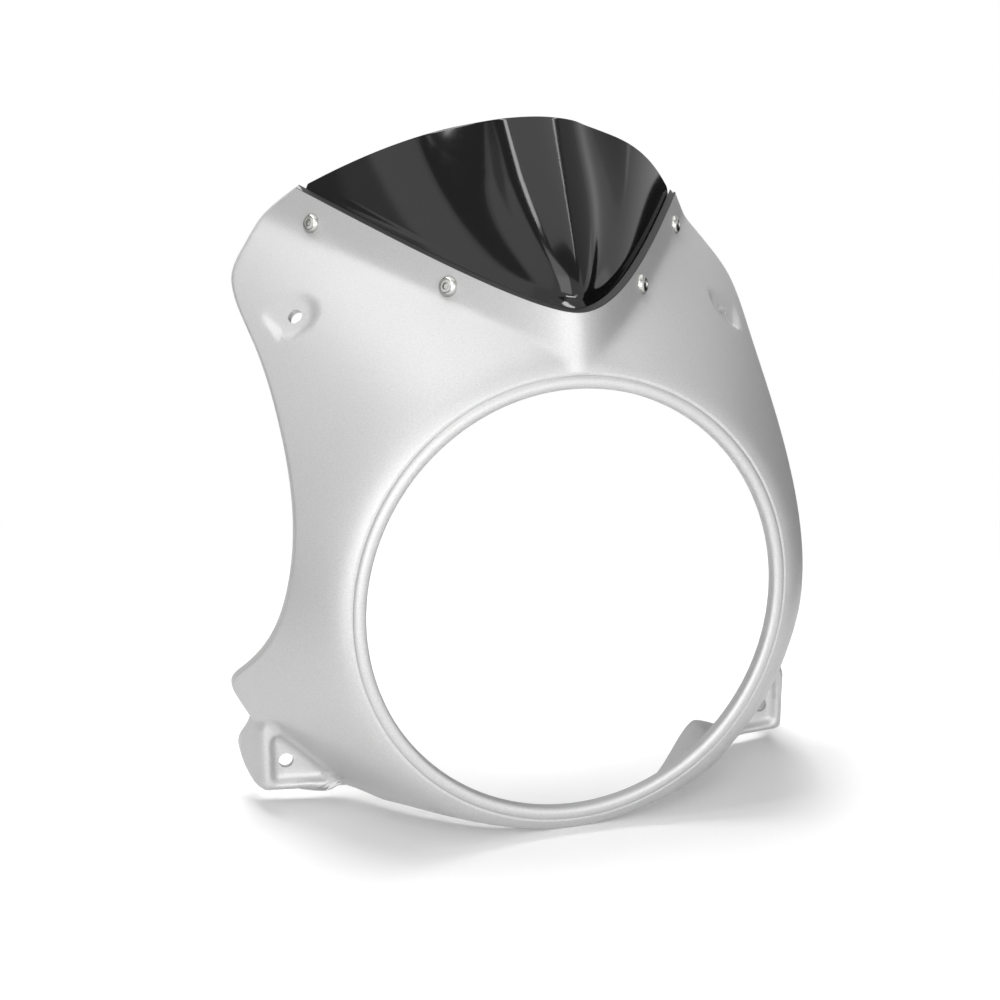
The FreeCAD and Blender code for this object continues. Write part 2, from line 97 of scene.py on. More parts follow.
# V cut and turned-back edge
CUT_HEIGHT = 122.5
CUT_RISE = 0.445
CUT_ROUNDING = 0.5
CUT_SEARCH = (100.0, 260.0)
# Depth of the band under the cut that is painted near-black, as painted shade for the shadow in the gap to
# the screen
CUT_SHADE_BAND = 0.35
TAB_BACK = 71.0
TAB_BACK_PLACE = (114.0, -78.0, 24.0)
TAB_BACK_TOP = -60.0
TAB_BACK_FALL = 1.2
TAB_BACK_RISE = 2.0
EDGE_SOFTNESS = 4.0
LOBE_DEPTH = 21.0
LOBE_PLACE = 68.0
LOBE_WIDTH = 27.0
LOBE_TOP = -78.0
LOBE_FADE = 4.0

# Upper pads
PAD_HOLE = (106.0, 85.0, 120.0)
PAD_AZIMUTH = 39.7
PAD_ELEVATION = 31.5
PAD_POINT = 15.0
PAD_POINT_RADIUS = 2.0
PAD_POINT_TURN = 4.0
PAD_WALL_SLOPE = 1.5
PAD_FADE_END = 45.0
PAD_FADE = 10.0

# Lower tabs, formed where X is above the first and Z below the second value of TAB_AREA
TAB_AREA = (60.0, -30.0)
TAB_HOLE = (120.5, -79.0)
TAB_LAND_Y = 52.0
TAB_CORNERS = [(127.5, -56.8), (91.0, -93.6), (131.4, -91.4), (131.4, -62.0)]
TAB_ROUNDING = 3.0
POCKET_CORNERS = [(126.6, -63.2), (100.0, -89.0), (126.6, -88.0)]
POCKET_ROUNDING = 2.5
TAB_SKIRT_SLOPE = 3.2
TAB_WALL_SLOPE = 2.3
POCKET_DEPTH = 4.0
POCKET_WALL_SLOPE = 2.6

# Screen
SCREEN_TOP = 206.8
SCREEN_TOP_FALL = 0.00316
SCREEN_END = 92.5
SCREEN_EAR = (96.0, 170.5)
SCREEN_BAND = 21.0
SWEEP_SLOPE = 0.56
SWEEP_BEND = 6.0
NOSE_HEIGHT = 7.0
NOSE_START = 12.0
NOSE_LENGTH = 45.0
NOSE_TIP = 4.0
NOSE_HALF = 21.0
NOSE_SHOULDER = 2.4
NOSE_CROWN = 0.8
VALLEY_DEPTH = 2.0
VALLEY_AWAY = 15.0
VALLEY_WIDTH = 12.0
STEP_HEIGHT = 0.8
STEP_AWAY = 3.0
STEP_SOFTNESS = 0.4

# Screws
SCREW_PLACES = {"inner": (45.3, 134.0), "outer": (92.8, 161.3)}
SEAT_DEPTH = 0.35
HEAD_RIM = 0.5
HEAD_SHOULDER = (4.275, 2.425)
HEAD_CROWN = 2.2
THREAD_PITCH = 0.8
THREAD_DEPTH = 0.45

# Fineness of the shell's mesh, with its step round the lamp axis in degrees
CURVE_POINTS = 24
ANGLE_STEP = 0.62
OUTER_ROWS = 60
INNER_ROWS = 50

# Studio, in metres
CAMERA_PLACE = (-0.1910, -0.5015, 0.1538)
CAMERA_AIM = (0.2899, 0.9364, -0.1977)
CAMERA_LENS = 46.44
WORLD_GREY = 0.24
FLOOR_LIFT = 0.12
# Lit cards: name, centre, the two sides and the grey
CARDS = (
    ("ceiling_card", (0.0, 0.5, 2.2), (4.4, 0, 0), (0, 5.0, 0), 0.25),
    ("left_card", (-2.0, 1.2, 1.4), (0, 0, 1.8), (0, 2.2, 0), 0.30),
    ("low_left_card", (-0.45, -0.15, -0.04), (0, 0, 0.12), (0, 1.1, 0), 0.20),
    ("back_left_card", (-0.70, 0.60, 0.12), (0, 0, 0.44), (0, 0.8, 0), 0.30),
    ("right_sky", (2.0, 0.6, 1.6), (0.8, 0, -0.9), (0, 3.0, 0), 0.50),
    ("right_back_card", (1.6, 1.4, 0.8), (0, 0, 0.9), (0, 1.8, 0), 0.60),
    ("right_card", (0.42, 0.65, 0.05), (0, 0, 0.36), (0, 1.6, 0), 0.02),
    ("front_card", (0.45, -1.45, 0.42), (0.7, 0, 0), (0, 0, 0.35), 4.0),
    ("nose_card", (0.08, 0.25, 1.50), (1.46, 0.2, -0.18), (0, 2.0, 0.1), 1.4),
    ("nose_line_left", (-0.75, 0.16, 1.53), (0.16, 0, 0.02), (0, 1.6, 0.1), 8.5),
    ("nose_line_right", (0.82, 0.37, 1.35), (0.04, 0, -0.03), (0, 2.0, 0.1), 6.0),
)


def linear(hex_colour):
    """An sRGB hex colour as linear red, green, blue and alpha."""
    values = [int(hex_colour[i:i + 2], 16) / 255 for i in (1, 3, 5)]
    return [v / 12.92 if v <= 0.04045 else ((v + 0.055) / 1.055) ** 2.4 for v in values] + [1.0]


def length(name, description, millimetres):
    """A length setting whose default is given in millimetres."""
    return bpy.props.FloatProperty(name=name, description=description, default=millimetres * MM,
                                   min=0.0, unit="LENGTH", precision=5)


def colour(name, description, hex_colour):
    """A colour setting whose default is given as sRGB hex."""
    return bpy.props.FloatVectorProperty(name=name, description=description, default=linear(hex_colour),
                                         size=4, min=0.0, max=1.0, subtype="COLOR")


def power(name, description, watts):
    """A lamp's power setting."""
    return bpy.props.FloatProperty(name=name, description=description, default=watts, min=0.0, unit="POWER")


class CowlShellSettings(bpy.types.PropertyGroup):
    """Sizes and colour of the moulded shell."""

    wall: length("Wall", "Thickness of the moulded shell", 3.0)
    opening_radius: length("Opening radius", "Inside of the lip round the lamp", 93.0)
    groove_radius: length("Groove radius", "Centre line of the groove outside the bead", 99.0)
    edge_depth: length("Edge depth", "Depth of the turned-back edge", 6.5)
    edge_radius: length("Edge radius", "Rounding of the outer edge", 1.6)
    pad_radius: length("Pad radius", "Round end of the sunk pads", 10.0)
    pad_hole_radius: length("Pad hole radius", "Hole in each sunk pad", 3.5)
    tab_hole_radius: length("Tab hole radius", "Hole in each lower tab", 3.4)
    softness: length("Softness", "Rounding of the moulded creases round the tabs", 1.8)
    pad_softness: length("Pad softness", "Rounding of the moulded creases round the pads", 0.6)
    paint: colour("Paint", "Silver of the paint", "#B4B4B4")


class CowlScreenSettings(bpy.types.PropertyGroup):
    """Sizes and colour of the screen."""

    wall: length("Wall", "Thickness of the sheet", 3.0)
    gap: length("Gap", "Gap between the shell and the screen", 0.5)
    edge_radius: length("Edge radius", "Rounding of the sheet's edge", 0.8)
    tint: colour("Tint", "Smoke tint of the sheet", "#0B0B0C")


class CowlScrewSettings(bpy.types.PropertyGroup):
    """Sizes and colour of the screws."""

    head_radius: length("Head radius", "Radius of the button heads", 4.75)
    head_height: length("Head height", "Height of the button heads", 2.75)
    shank_radius: length("Shank radius", "Radius of the threaded shank", 2.5)
    shank_length: length("Shank length", "Length of the shank below the head", 14.0)
    socket: length("Socket", "Width of the hexagonal socket across its flats", 3.0)
    socket_depth: length("Socket depth", "Depth of the hexagonal socket", 1.6)
    steel: colour("Steel", "Bright steel of the screws", "#BDBDB9")


class CowlStudioSettings(bpy.types.PropertyGroup):
    """Floor and light."""

    floor: colour("Floor", "Colour of the floor", "#F4F4F4")
    above: power("Light above", "Large soft light over the object", 26.0)
    front: power("Front light", "Low soft light before the lamp opening", 15.0)
    key: power("Key light", "High soft light from the front left", 5.5)
    side: power("Side light", "Soft light on the left", 1.5)


def node(tree, kind, links=None, **settings):
    """Adds a shader node, sets its inputs or attributes by name, and links other nodes' outputs to it."""
    made = tree.nodes.new(kind)
    for name, value in settings.items():
        if hasattr(made, name):
            setattr(made, name, value)
        else:
            words = name.replace("_", " ").lower()
            socket = next(key for key in made.inputs.keys() if key.lower() == words)
            made.inputs[socket].default_value = value
    for name, source in (links or {}).items():
        tree.links.new(source, made.inputs[name])
    return made


def new_material(name):
    """An empty material with its node tree and output."""
    material = bpy.data.materials.new(name)
    material.use_nodes = True
    tree = material.node_tree
    tree.nodes.clear()
    return material, tree


def satin_silver_paint(paint):
    """Silver base coat under a satin clear coat on moulded ABS: a metallic sheen that spreads wide.

    A thin dark line is painted along the trimmed edge of the V. It is painted shade standing for the shadow
    in the gap to the screen, and it takes no light.
    """
    material, tree = new_material("satin_silver_paint")
    place = node(tree, "ShaderNodeTexCoord").outputs["Object"]
    # Aluminium flakes of about 0.1 mm are drawn at 0.5 mm, the finest that still shows
    flake = node(tree, "ShaderNodeTexNoise", {"Vector": place}, Scale=1 / (0.5 * MM), Detail=2.0)
    # Orange peel of the sprayed coat, about 2 mm from crest to crest
    peel = node(tree, "ShaderNodeTexNoise", {"Vector": place}, Scale=1 / (2.0 * MM), Detail=2.0)
    # Slow drift of the coat's thickness over some 60 mm
    drift = node(tree, "ShaderNodeTexNoise", {"Vector": place}, Scale=1 / (60 * MM), Detail=1.0)
    tone = node(tree, "ShaderNodeValToRGB", {"Fac": flake.outputs["Fac"]})
    tone.color_ramp.elements[0].position = 0.3
    tone.color_ramp.elements[0].color = [c * 0.9 for c in paint[:3]] + [1.0]
    tone.color_ramp.elements[1].position = 0.7
    tone.color_ramp.elements[1].color = [min(c * 1.08, 1.0) for c in paint[:3]] + [1.0]
    rough = node(tree, "ShaderNodeMapRange", {"Value": drift.outputs["Fac"]}, To_Min=0.50, To_Max=0.56)
    bump = node(tree, "ShaderNodeBump", {"Height": peel.outputs["Fac"]}, Strength=0.06, Distance=0.02 * MM)
    shader = node(tree, "ShaderNodeBsdfPrincipled",
                  {"Base Color": tone.outputs["Color"], "Roughness": rough.outputs["Result"],
                   "Normal": bump.outputs["Normal"]},
                  Metallic=0.45, Coat_Weight=0.1, Coat_Roughness=0.4)
    # Height over the sloping plane of the cut: the little that lies just under it is the trimmed edge, which
    # is painted dark as painted shade
    axes = node(tree, "ShaderNodeSeparateXYZ", {"Vector": place})
    rise = node(tree, "ShaderNodeMath", {0: axes.outputs["Y"]}, operation="MULTIPLY")
    rise.inputs[1].default_value = CUT_RISE
    level = node(tree, "ShaderNodeMath", {0: axes.outputs["Z"], 1: rise.outputs["Value"]},
                 operation="SUBTRACT")
    edge = node(tree, "ShaderNodeMath", {0: level.outputs["Value"]}, operation="GREATER_THAN")
    edge.inputs[1].default_value = (CUT_HEIGHT - CUT_SHADE_BAND) * MM
    # Painted shade: a near-black colour on the trimmed edge, in place of its shadow in the gap to the screen
    cut_shade = node(tree, "ShaderNodeBsdfPrincipled", Base_Color=linear("#1C1C1D"), Roughness=0.6)
    both = node(tree, "ShaderNodeMixShader", {"Fac": edge.outputs["Value"], 1: shader.outputs["BSDF"],
                                              2: cut_shade.outputs["BSDF"]})
    node(tree, "ShaderNodeOutputMaterial", {"Surface": both.outputs["Shader"]})
    return material


def smoked_acrylic(tint):
    """Polished acrylic with a nearly opaque smoke tint: black depth under a sharp gloss."""
    material, tree = new_material("smoked_acrylic")
    place = node(tree, "ShaderNodeTexCoord").outputs["Object"]
    # Very slight waves of the drawn sheet, about 25 mm long
    waves = node(tree, "ShaderNodeTexNoise", {"Vector": place}, Scale=1 / (25 * MM), Detail=1.0)
    # Fine haze of handling marks, some 3 mm across
    haze = node(tree, "ShaderNodeTexNoise", {"Vector": place}, Scale=1 / (3 * MM), Detail=3.0)
    rough = node(tree, "ShaderNodeMapRange", {"Value": haze.outputs["Fac"]}, To_Min=0.07, To_Max=0.13)
    bump = node(tree, "ShaderNodeBump", {"Height": waves.outputs["Fac"]}, Strength=0.15, Distance=0.2 * MM)
    shader = node(tree, "ShaderNodeBsdfPrincipled",
                  {"Roughness": rough.outputs["Result"], "Normal": bump.outputs["Normal"]},
                  Base_Color=tint, IOR=1.49)
    node(tree, "ShaderNodeOutputMaterial", {"Surface": shader.outputs["BSDF"]})
    return material


def bright_steel(steel):
    """Tumbled stainless steel of the screws: bright, with a soft brushed break-up."""
    material, tree = new_material("bright_steel")
    place = node(tree, "ShaderNodeTexCoord").outputs["Object"]
    # Marks left by tumbling, about 0.6 mm across
    marks = node(tree, "ShaderNodeTexNoise", {"Vector": place}, Scale=1 / (0.6 * MM), Detail=2.0)
    rough = node(tree, "ShaderNodeMapRange", {"Value": marks.outputs["Fac"]}, To_Min=0.16, To_Max=0.30)
    bump = node(tree, "ShaderNodeBump", {"Height": marks.outputs["Fac"]}, Strength=0.2, Distance=0.01 * MM)
    shader = node(tree, "ShaderNodeBsdfPrincipled",
                  {"Roughness": rough.outputs["Result"], "Normal": bump.outputs["Normal"]},
                  Base_Color=steel, Metallic=1.0)
    node(tree, "ShaderNodeOutputMaterial", {"Surface": shader.outputs["BSDF"]})
    return material


def zinc_plate():
    """Zinc-plated steel of the nuts: greyer than stainless, with the plating's fine crystals."""
    material, tree = new_material("zinc_plate")
    place = node(tree, "ShaderNodeTexCoord").outputs["Object"]
    # Crystals of the plating, drawn at 0.8 mm
    grain = node(tree, "ShaderNodeTexVoronoi", {"Vector": place}, Scale=1 / (0.8 * MM))
    tone = node(tree, "ShaderNodeValToRGB", {"Fac": grain.outputs["Distance"]})
    tone.color_ramp.elements[0].color = linear("#B4B7BB")
    tone.color_ramp.elements[1].color = linear("#C6C8CA")
    shader = node(tree, "ShaderNodeBsdfPrincipled", {"Base Color": tone.outputs["Color"]},
                  Metallic=1.0, Roughness=0.34)
    node(tree, "ShaderNodeOutputMaterial", {"Surface": shader.outputs["BSDF"]})
    return material


def natural_nylon():
    """Moulded nylon of the washers: milky, with a little light inside it."""
    material, tree = new_material("natural_nylon")
    place = node(tree, "ShaderNodeTexCoord").outputs["Object"]
    # Texture of the moulding tool, about 0.4 mm
    grain = node(tree, "ShaderNodeTexNoise", {"Vector": place}, Scale=1 / (0.4 * MM), Detail=2.0)
    bump = node(tree, "ShaderNodeBump", {"Height": grain.outputs["Fac"]}, Strength=0.2, Distance=0.02 * MM)
    shader = node(tree, "ShaderNodeBsdfPrincipled", {"Normal": bump.outputs["Normal"]},
                  Base_Color=linear("#DAD6C8"), Roughness=0.5, Subsurface_Weight=0.2,
                  Subsurface_Scale=1.0 * MM)
    node(tree, "ShaderNodeOutputMaterial", {"Surface": shader.outputs["BSDF"]})
    return material


def softened(value, softness):
    """The value where it is positive and zero elsewhere, with a soft change between."""
    return (value + np.sqrt(value * value + softness * softness)) / 2


def further_back(first, second, softness):
    """The larger of two depths, with a soft change from one to the other."""
    return second + softened(first - second, softness)


def further_front(first, second, softness):
    """The smaller of two depths, with a soft change from one to the other."""
    return second - softened(second - first, softness)


def bowl_and_prow(x, z, groove_radius):
    """Y of the shell's outer form without pads and tabs."""
    radius = np.hypot(x, z)
    at_groove = softened(groove_radius - SHOULDER_RADIUS, SHOULDER_SOFTNESS)
    bowl = FLANK_SLOPE * (softened(radius - SHOULDER_RADIUS, SHOULDER_SOFTNESS) - at_groove)
    prow = PROW_SLOPE * x * x / (np.abs(x) + PROW_NOSE) + PROW_LEAN * (z - groove_radius)
    outside = np.maximum(radius - groove_radius, 0)
    crease = CREASE_SOFTNESS * outside / (outside + CREASE_START)
    both = (bowl + prow) / 2 - np.sqrt((bowl - prow) ** 2 + crease * crease) / 2
    return np.where((z < 0) | (radius < groove_radius), bowl, both)


def slopes(surface, x, z):
    """How fast a surface goes back along X and along Z."""
    step = 0.01
    along_x = (surface(x + step, z) - surface(x - step, z)) / (2 * step)
    along_z = (surface(x, z + step) - surface(x, z - step)) / (2 * step)
    return along_x, along_z


def behind(surface, x, z, distance):
    """Y of what lies this distance behind a surface, measured square to it."""
    along_x, along_z = slopes(surface, x, z)
    return surface(x, z) + distance * np.sqrt(1 + along_x ** 2 + along_z ** 2)


def from_polygon(x, z, corners, rounding):
    """Distance from a convex outline with rounded corners, negative inside it."""
    count = len(corners)
    signed = np.full(np.shape(x), -np.inf)
    inner = []
    for i in range(count):
        here, after = np.array(corners[i]), np.array(corners[(i + 1) % count])
        along = (after - here) / np.linalg.norm(after - here)
        out = np.array([along[1], -along[0]])
        inner.append((here, out))
        signed = np.maximum(signed, (x - here[0]) * out[0] + (z - here[1]) * out[1])
    shrunk = []
    for i in range(count):
        here, out = inner[i]
        lines = np.array([inner[i - 1][1], out])
        shrunk.append(np.linalg.solve(lines, lines @ here - rounding))
    near = np.full(np.shape(x), np.inf)
    for i in range(count):
        here, after = shrunk[i], shrunk[(i + 1) % count]
        step = after - here
        part = np.clip(((x - here[0]) * step[0] + (z - here[1]) * step[1]) / (step @ step), 0, 1)
        near = np.minimum(near, np.hypot(x - here[0] - part * step[0], z - here[1] - part * step[1]))
    return np.where(signed > -rounding, near - rounding, signed)


def setback(slope, wall):
    """How far a sloping wall's back lies sideways from its front, in the plane behind its floor."""
    return wall * (sqrt(1 + slope * slope) - 1) / slope


class ShellForm:
    """The shell's outer skin, or the inner one when depth is the wall."""

    def __init__(self, settings, depth):
        self.depth = depth
        self.groove = settings.groove_radius / MM
        self.soft = settings.softness / MM
        self.pad_soft = settings.pad_softness / MM
        self.pad_radius = settings.pad_radius / MM
        azimuth, elevation = radians(PAD_AZIMUTH), radians(PAD_ELEVATION)
        across = Vector((cos(azimuth), sin(azimuth), 0))
        level = cos(elevation)
        self.pad_normal = Vector((sin(azimuth) * level, -cos(azimuth) * level, sin(elevation)))
        turn = Matrix.Rotation(radians(PAD_POINT_TURN), 3, self.pad_normal)
        self.pad_across = turn @ across
        self.pad_up = self.pad_normal.cross(self.pad_across)

    def outer_form(self, x, z):
        """Y of the outer skin before the pads and tabs are formed in it."""
        return bowl_and_prow(x, z, self.groove)

    def with_tab(self, x, z, y):
        """The skin with the land, its walls and its pocket."""
        depth = self.depth
        away = from_polygon(x, z, TAB_CORNERS, TAB_ROUNDING)
        pocket = from_polygon(x, z, POCKET_CORNERS, POCKET_ROUNDING)
        land = TAB_LAND_Y + depth
        skirt_start = -setback(TAB_SKIRT_SLOPE, depth)
        wall_start = setback(TAB_WALL_SLOPE, depth)
        pocket_start = setback(POCKET_WALL_SLOPE, depth)
        soft = self.soft * 0.6
        skirt = land + TAB_SKIRT_SLOPE * softened(away - skirt_start, soft)
        wall = land - TAB_WALL_SLOPE * softened(away - wall_start, soft)
        floor = land + POCKET_DEPTH - POCKET_WALL_SLOPE * softened(pocket - pocket_start, soft)
        low = (z < TAB_AREA[1]) & (x > TAB_AREA[0])
        shaped = further_back(further_front(y, skirt, self.soft), wall, self.soft)
        shaped = further_back(shaped, floor, soft)
        return np.where(low, shaped, y)

    def with_pad(self, points):
        """Sinks the pad along its own normal, so that its walls keep their slope."""
        offset = points - np.array(PAD_HOLE)
        along = offset @ np.array(self.pad_across)
        up = np.abs(offset @ np.array(self.pad_up))
        height = offset @ np.array(self.pad_normal)
        taper = (self.pad_radius - PAD_POINT_RADIUS) / PAD_POINT
        side = sqrt(1 - taper * taper)
        reach = up * -taper + along * side
        away = np.where(reach < 0, np.hypot(up, along) - self.pad_radius,
                        np.where(reach > side * PAD_POINT, np.hypot(up, along - PAD_POINT) - PAD_POINT_RADIUS,
                                 up * side + along * taper - self.pad_radius))
        start = setback(PAD_WALL_SLOPE, self.depth)
        sunk = PAD_WALL_SLOPE * softened(away - start, self.pad_soft) - self.depth
        lower = height - softened(height - sunk, self.pad_soft)
        faded = np.clip((PAD_FADE_END - np.hypot(along, up)) / PAD_FADE, 0, 1)
        return points + ((lower - height) * faded)[..., None] * np.array(self.pad_normal)

    def points(self, x, z):
        """Points of the right-hand skin at these places in front view."""
        y = behind(self.outer_form, x, z, self.depth) if self.depth else self.outer_form(x, z)
        return self.with_pad(np.stack([x, self.with_tab(x, z, y), z], -1))


def smooth_line(points):
    """Points on a smooth curve through the given ones."""
    points = np.array(points, float)
    size = len(points)
    knots = np.concatenate([[0], np.cumsum(np.linalg.norm(np.diff(points, axis=0), axis=1))])
    gaps = np.diff(knots)
    system = np.eye(size)
    right = np.zeros_like(points)
    for i in range(1, size - 1):
        system[i, i - 1:i + 2] = gaps[i - 1], 2 * (gaps[i - 1] + gaps[i]), gaps[i]
        right[i] = 6 * ((points[i + 1] - points[i]) / gaps[i] - (points[i] - points[i - 1]) / gaps[i - 1])
    bend = np.linalg.solve(system, right)
    line = []
    for i in range(size - 1):
        for t in np.linspace(0, gaps[i], CURVE_POINTS, endpoint=False):
            a, b = gaps[i] - t, t
            line.append((bend[i] * a ** 3 + bend[i + 1] * b ** 3) / (6 * gaps[i])
                        + (points[i] / gaps[i] - bend[i] * gaps[i] / 6) * a
                        + (points[i + 1] / gaps[i] - bend[i + 1] * gaps[i] / 6) * b)
    return line + [points[-1]]


def outline_and_corners():
    """The right half of the outline as a polyline, and its corners."""
    bottom = BOTTOM_EDGE + [(-x, z) for x, z in reversed(BOTTOM_EDGE[:-1])]
    half = smooth_line(bottom)[:CURVE_POINTS * (len(BOTTOM_EDGE) - 1) + 1]
    top = [np.array((0.0, 2 * WING_TOP[1])), np.array(WING_TOP)]
    side = smooth_line(WING_EDGE + SIDE_EDGE + TIP_EDGE + [NOTCH])
    tab = smooth_line([NOTCH] + TAB_OUTER_EDGE)[1:]
    corners = [WING_EDGE[0], NOTCH, TAB_OUTER_EDGE[-1], BOTTOM_EDGE[0]]
    return np.array(top + side + tab + half), corners


def reach_of_outline(angles, line):
    """Distance from the lamp axis to the outline along each angle, and the direction square to it."""
    turned = np.arctan2(line[:, 1], line[:, 0])
    reach = np.zeros(len(angles))
    square = np.zeros((len(angles), 2))
    for i, angle in enumerate(angles):
        ray = np.array([cos(angle), sin(angle)])
        best = None
        for k in np.nonzero((turned[:-1] >= angle - 1e-9) & (turned[1:] <= angle + 1e-9))[0]:
            step = line[k + 1] - line[k]
            across = ray[0] * step[1] - ray[1] * step[0]
            if abs(across) < 1e-12:
                continue
            distance = (line[k][0] * step[1] - line[k][1] * step[0]) / across
            if best is None or distance < best:
                best = distance
                reach[i] = distance
                square[i] = np.array([-step[1], step[0]]) / np.linalg.norm(step)
        if best is None:
            raise ValueError("the outline has no point along %.3f degrees" % np.degrees(angle))
    return reach, square


def rounded_corner(before, corner, after, radius, count):
    """Points that round a corner of each section; the first and last lie on its two sides."""
    into = before - corner
    onward = after - corner
    into_length = np.linalg.norm(into, axis=-1, keepdims=True)
    onward_length = np.linalg.norm(onward, axis=-1, keepdims=True)
    reach = np.minimum(radius, 0.45 * np.minimum(into_length, onward_length))
    start = corner + into / into_length * reach
    end = corner + onward / onward_length * reach
    rows = []
    for t in np.linspace(0, 1, count):
        rows.append((1 - t) ** 2 * start + 2 * t * (1 - t) * corner + t * t * end)
    return rows


def on_cut(form, ray):
    """Distance along each ray where the skin meets the plane of the V cut."""
    low, high = (np.full(len(ray), limit) for limit in CUT_SEARCH)
    for _ in range(30):
        middle = (low + high) / 2
        points = form.points(ray[:, 0] * middle, ray[:, 1] * middle)
        above = points[:, 2] > CUT_HEIGHT + CUT_RISE * points[:, 1]
        high = np.where(above, middle, high)
        low = np.where(above, low, middle)
    return (low + high) / 2


def end_of_edge(form, x, z, depth):
    """Y where the turned-back edge ends."""
    lobe = LOBE_DEPTH * np.exp(-(((np.abs(x) - LOBE_PLACE) / LOBE_WIDTH) ** 2))
    low = 1 / (1 + np.exp((z - LOBE_TOP) / LOBE_FADE))
    bowl = form.outer_form(x, z) + depth + lobe * low
    tab_x, tab_z, reach = TAB_BACK_PLACE
    away = softened(np.hypot(np.abs(x) - tab_x, z - tab_z) - reach, EDGE_SOFTNESS)
    lowest = TAB_BACK - TAB_BACK_FALL * away
    beyond_land = softened(np.abs(x) - TAB_CORNERS[2][0], EDGE_SOFTNESS)
    above_tab = softened(z - TAB_BACK_TOP, EDGE_SOFTNESS)
    highest = TAB_BACK + TAB_SKIRT_SLOPE * beyond_land + TAB_BACK_RISE * above_tab
    limit = lowest + softened(bowl - lowest, EDGE_SOFTNESS)
    return limit - softened(limit - highest, EDGE_SOFTNESS)


def spread_angles(stops, step):
    """Angles that include every stop and lie about a step apart."""
    angles = []
    for start, end in zip(stops[:-1], stops[1:]):
        count = max(int(round((end - start) / step)), 1)
        angles += list(np.linspace(start, end, count, endpoint=False))
    return np.array(angles + [stops[-1]])


def shell_sections(settings):
    """Closed sections of the right half, one for each angle round the lamp axis, as rows of points."""
    wall = settings.wall / MM
    edge = settings.edge_radius / MM
    outer, inner = ShellForm(settings, 0.0), ShellForm(settings, wall)
    line, corners = outline_and_corners()

    # The corner where the V cut meets the wing's edge
    low, high = radians(45), radians(80)
    for _ in range(40):
        middle = (low + high) / 2
        ray = np.array([[cos(middle), sin(middle)]])
        reach = reach_of_outline([middle], line)[0]
        if on_cut(outer, ray)[0] < reach[0]:
            high = middle
        else:
            low = middle
    wing_corner = high
    stops = sorted([-pi / 2, pi / 2, wing_corner, wing_corner - 0.002]
                   + [np.arctan2(z, x) for x, z in corners])
    angles = spread_angles([a for a in stops if a <= wing_corner or a == pi / 2], radians(ANGLE_STEP))
    ray = np.stack([np.cos(angles), np.sin(angles)], -1)
    cut = angles >= wing_corner
    reach = np.full(len(angles), 0.0)
    square = np.zeros((len(angles), 2))
    reach[~cut], square[~cut] = reach_of_outline(angles[~cut], line)
    reach[cut] = on_cut(outer, ray[cut])
    inner_reach = reach.copy()
    slant = np.maximum(np.abs((ray * square).sum(-1)), 0.5)
    inner_reach[~cut] -= wall / slant[~cut]
    outline_reach = reach_of_outline(angles[cut], line)[0]
    inner_reach[cut] = np.minimum(on_cut(inner, ray[cut]), outline_reach - 0.2)

    def skin(form, distance):
        return form.points(ray[:, 0] * distance, ray[:, 1] * distance)

    groove = settings.groove_radius / MM
    opening = settings.opening_radius / MM
    first = groove + GROOVE_SIZE
    tip = skin(outer, reach)
    inner_tip = skin(inner, inner_reach)
    depth = settings.edge_depth / MM
    back = tip.copy()
    back[:, 1] = np.maximum(end_of_edge(outer, tip[:, 0], tip[:, 2], depth), tip[:, 1] + 1)
    inner_end = end_of_edge(outer, inner_tip[:, 0], inner_tip[:, 2], depth)
    inner_back = inner_tip.copy()
    inner_back[:, 1] = np.maximum(inner_end, inner_tip[:, 1] + 0.5)
    back[cut] = inner_tip[cut] * 0.98 + tip[cut] * 0.02
    inner_back[cut] = inner_tip[cut] * 0.99 + tip[cut] * 0.01

    # Bead and lip, from the lip's inside round to the groove
    rows = []

    def ring(radius, y):
        rows.append(np.stack([ray[:, 0] * radius, np.full(len(ray), y), ray[:, 1] * radius], -1))

    ring(opening + 0.3, LIP_DEPTH)
    ring(opening, LIP_DEPTH - 0.3)
    ring(opening, (LIP_DEPTH + GROOVE_SIZE) / 2)
    seam = groove - GROOVE_SIZE / 2
    half = (seam - opening) / 2
    rise = BEAD_HEIGHT + GROOVE_SIZE / 2
    for turn in np.linspace(0, pi, 11):
        ring(opening + half * (1 - cos(turn)), GROOVE_SIZE / 2 - rise * sin(turn) ** 0.8)
    ring(groove, GROOVE_SIZE / 2)
    rows.append(skin(outer, np.full(len(ray), first)))

    # The trimmed edge of the V keeps a small rounding, the turned-back edge a wide one
    rounding = np.where(cut, CUT_ROUNDING, edge)
    before = skin(outer, reach - np.minimum(2 * rounding, 0.3 * (reach - first)))
    kept = reach - np.minimum(rounding * 1.05, 0.3 * (reach - first))
    # Outer skin up to that rounding, closer together near the shoulder
    for part in np.linspace(0, 1, OUTER_ROWS + 1)[1:]:
        rows.append(skin(outer, first + (kept - first) * part ** 1.25))
    rows += rounded_corner(before, tip, back, rounding[:, None], 5)
    rows.append(tip * 0.5 + back * 0.5)
    rows += rounded_corner(tip, back, inner_back, 0.6, 3)
    rows += rounded_corner(back, inner_back, inner_tip, 0.6, 3)
    rows.append(inner_back * 0.5 + inner_tip * 0.5)
    inner_first = groove + 2 * GROOVE_SIZE
    inner_start = np.full(len(ray), inner_first)
    for part in np.linspace(1, 0, INNER_ROWS):
        rows.append(skin(inner, inner_start + (inner_reach - inner_start) * part ** 1.25))
    lip = opening + LIP_WALL
    ring(lip + 0.3, wall - 0.2)
    ring(lip, wall + 0.1)
    ring(lip, LIP_DEPTH - 0.3)
    ring(lip - 0.3, LIP_DEPTH)
    return np.array(rows)


def start_piece():
    """Deselects everything, so that the next operators act on new geometry only."""
    if bpy.context.object and bpy.context.object.mode != "OBJECT":
        bpy.ops.object.mode_set(mode="OBJECT")
    bpy.ops.object.select_all(action="DESELECT")


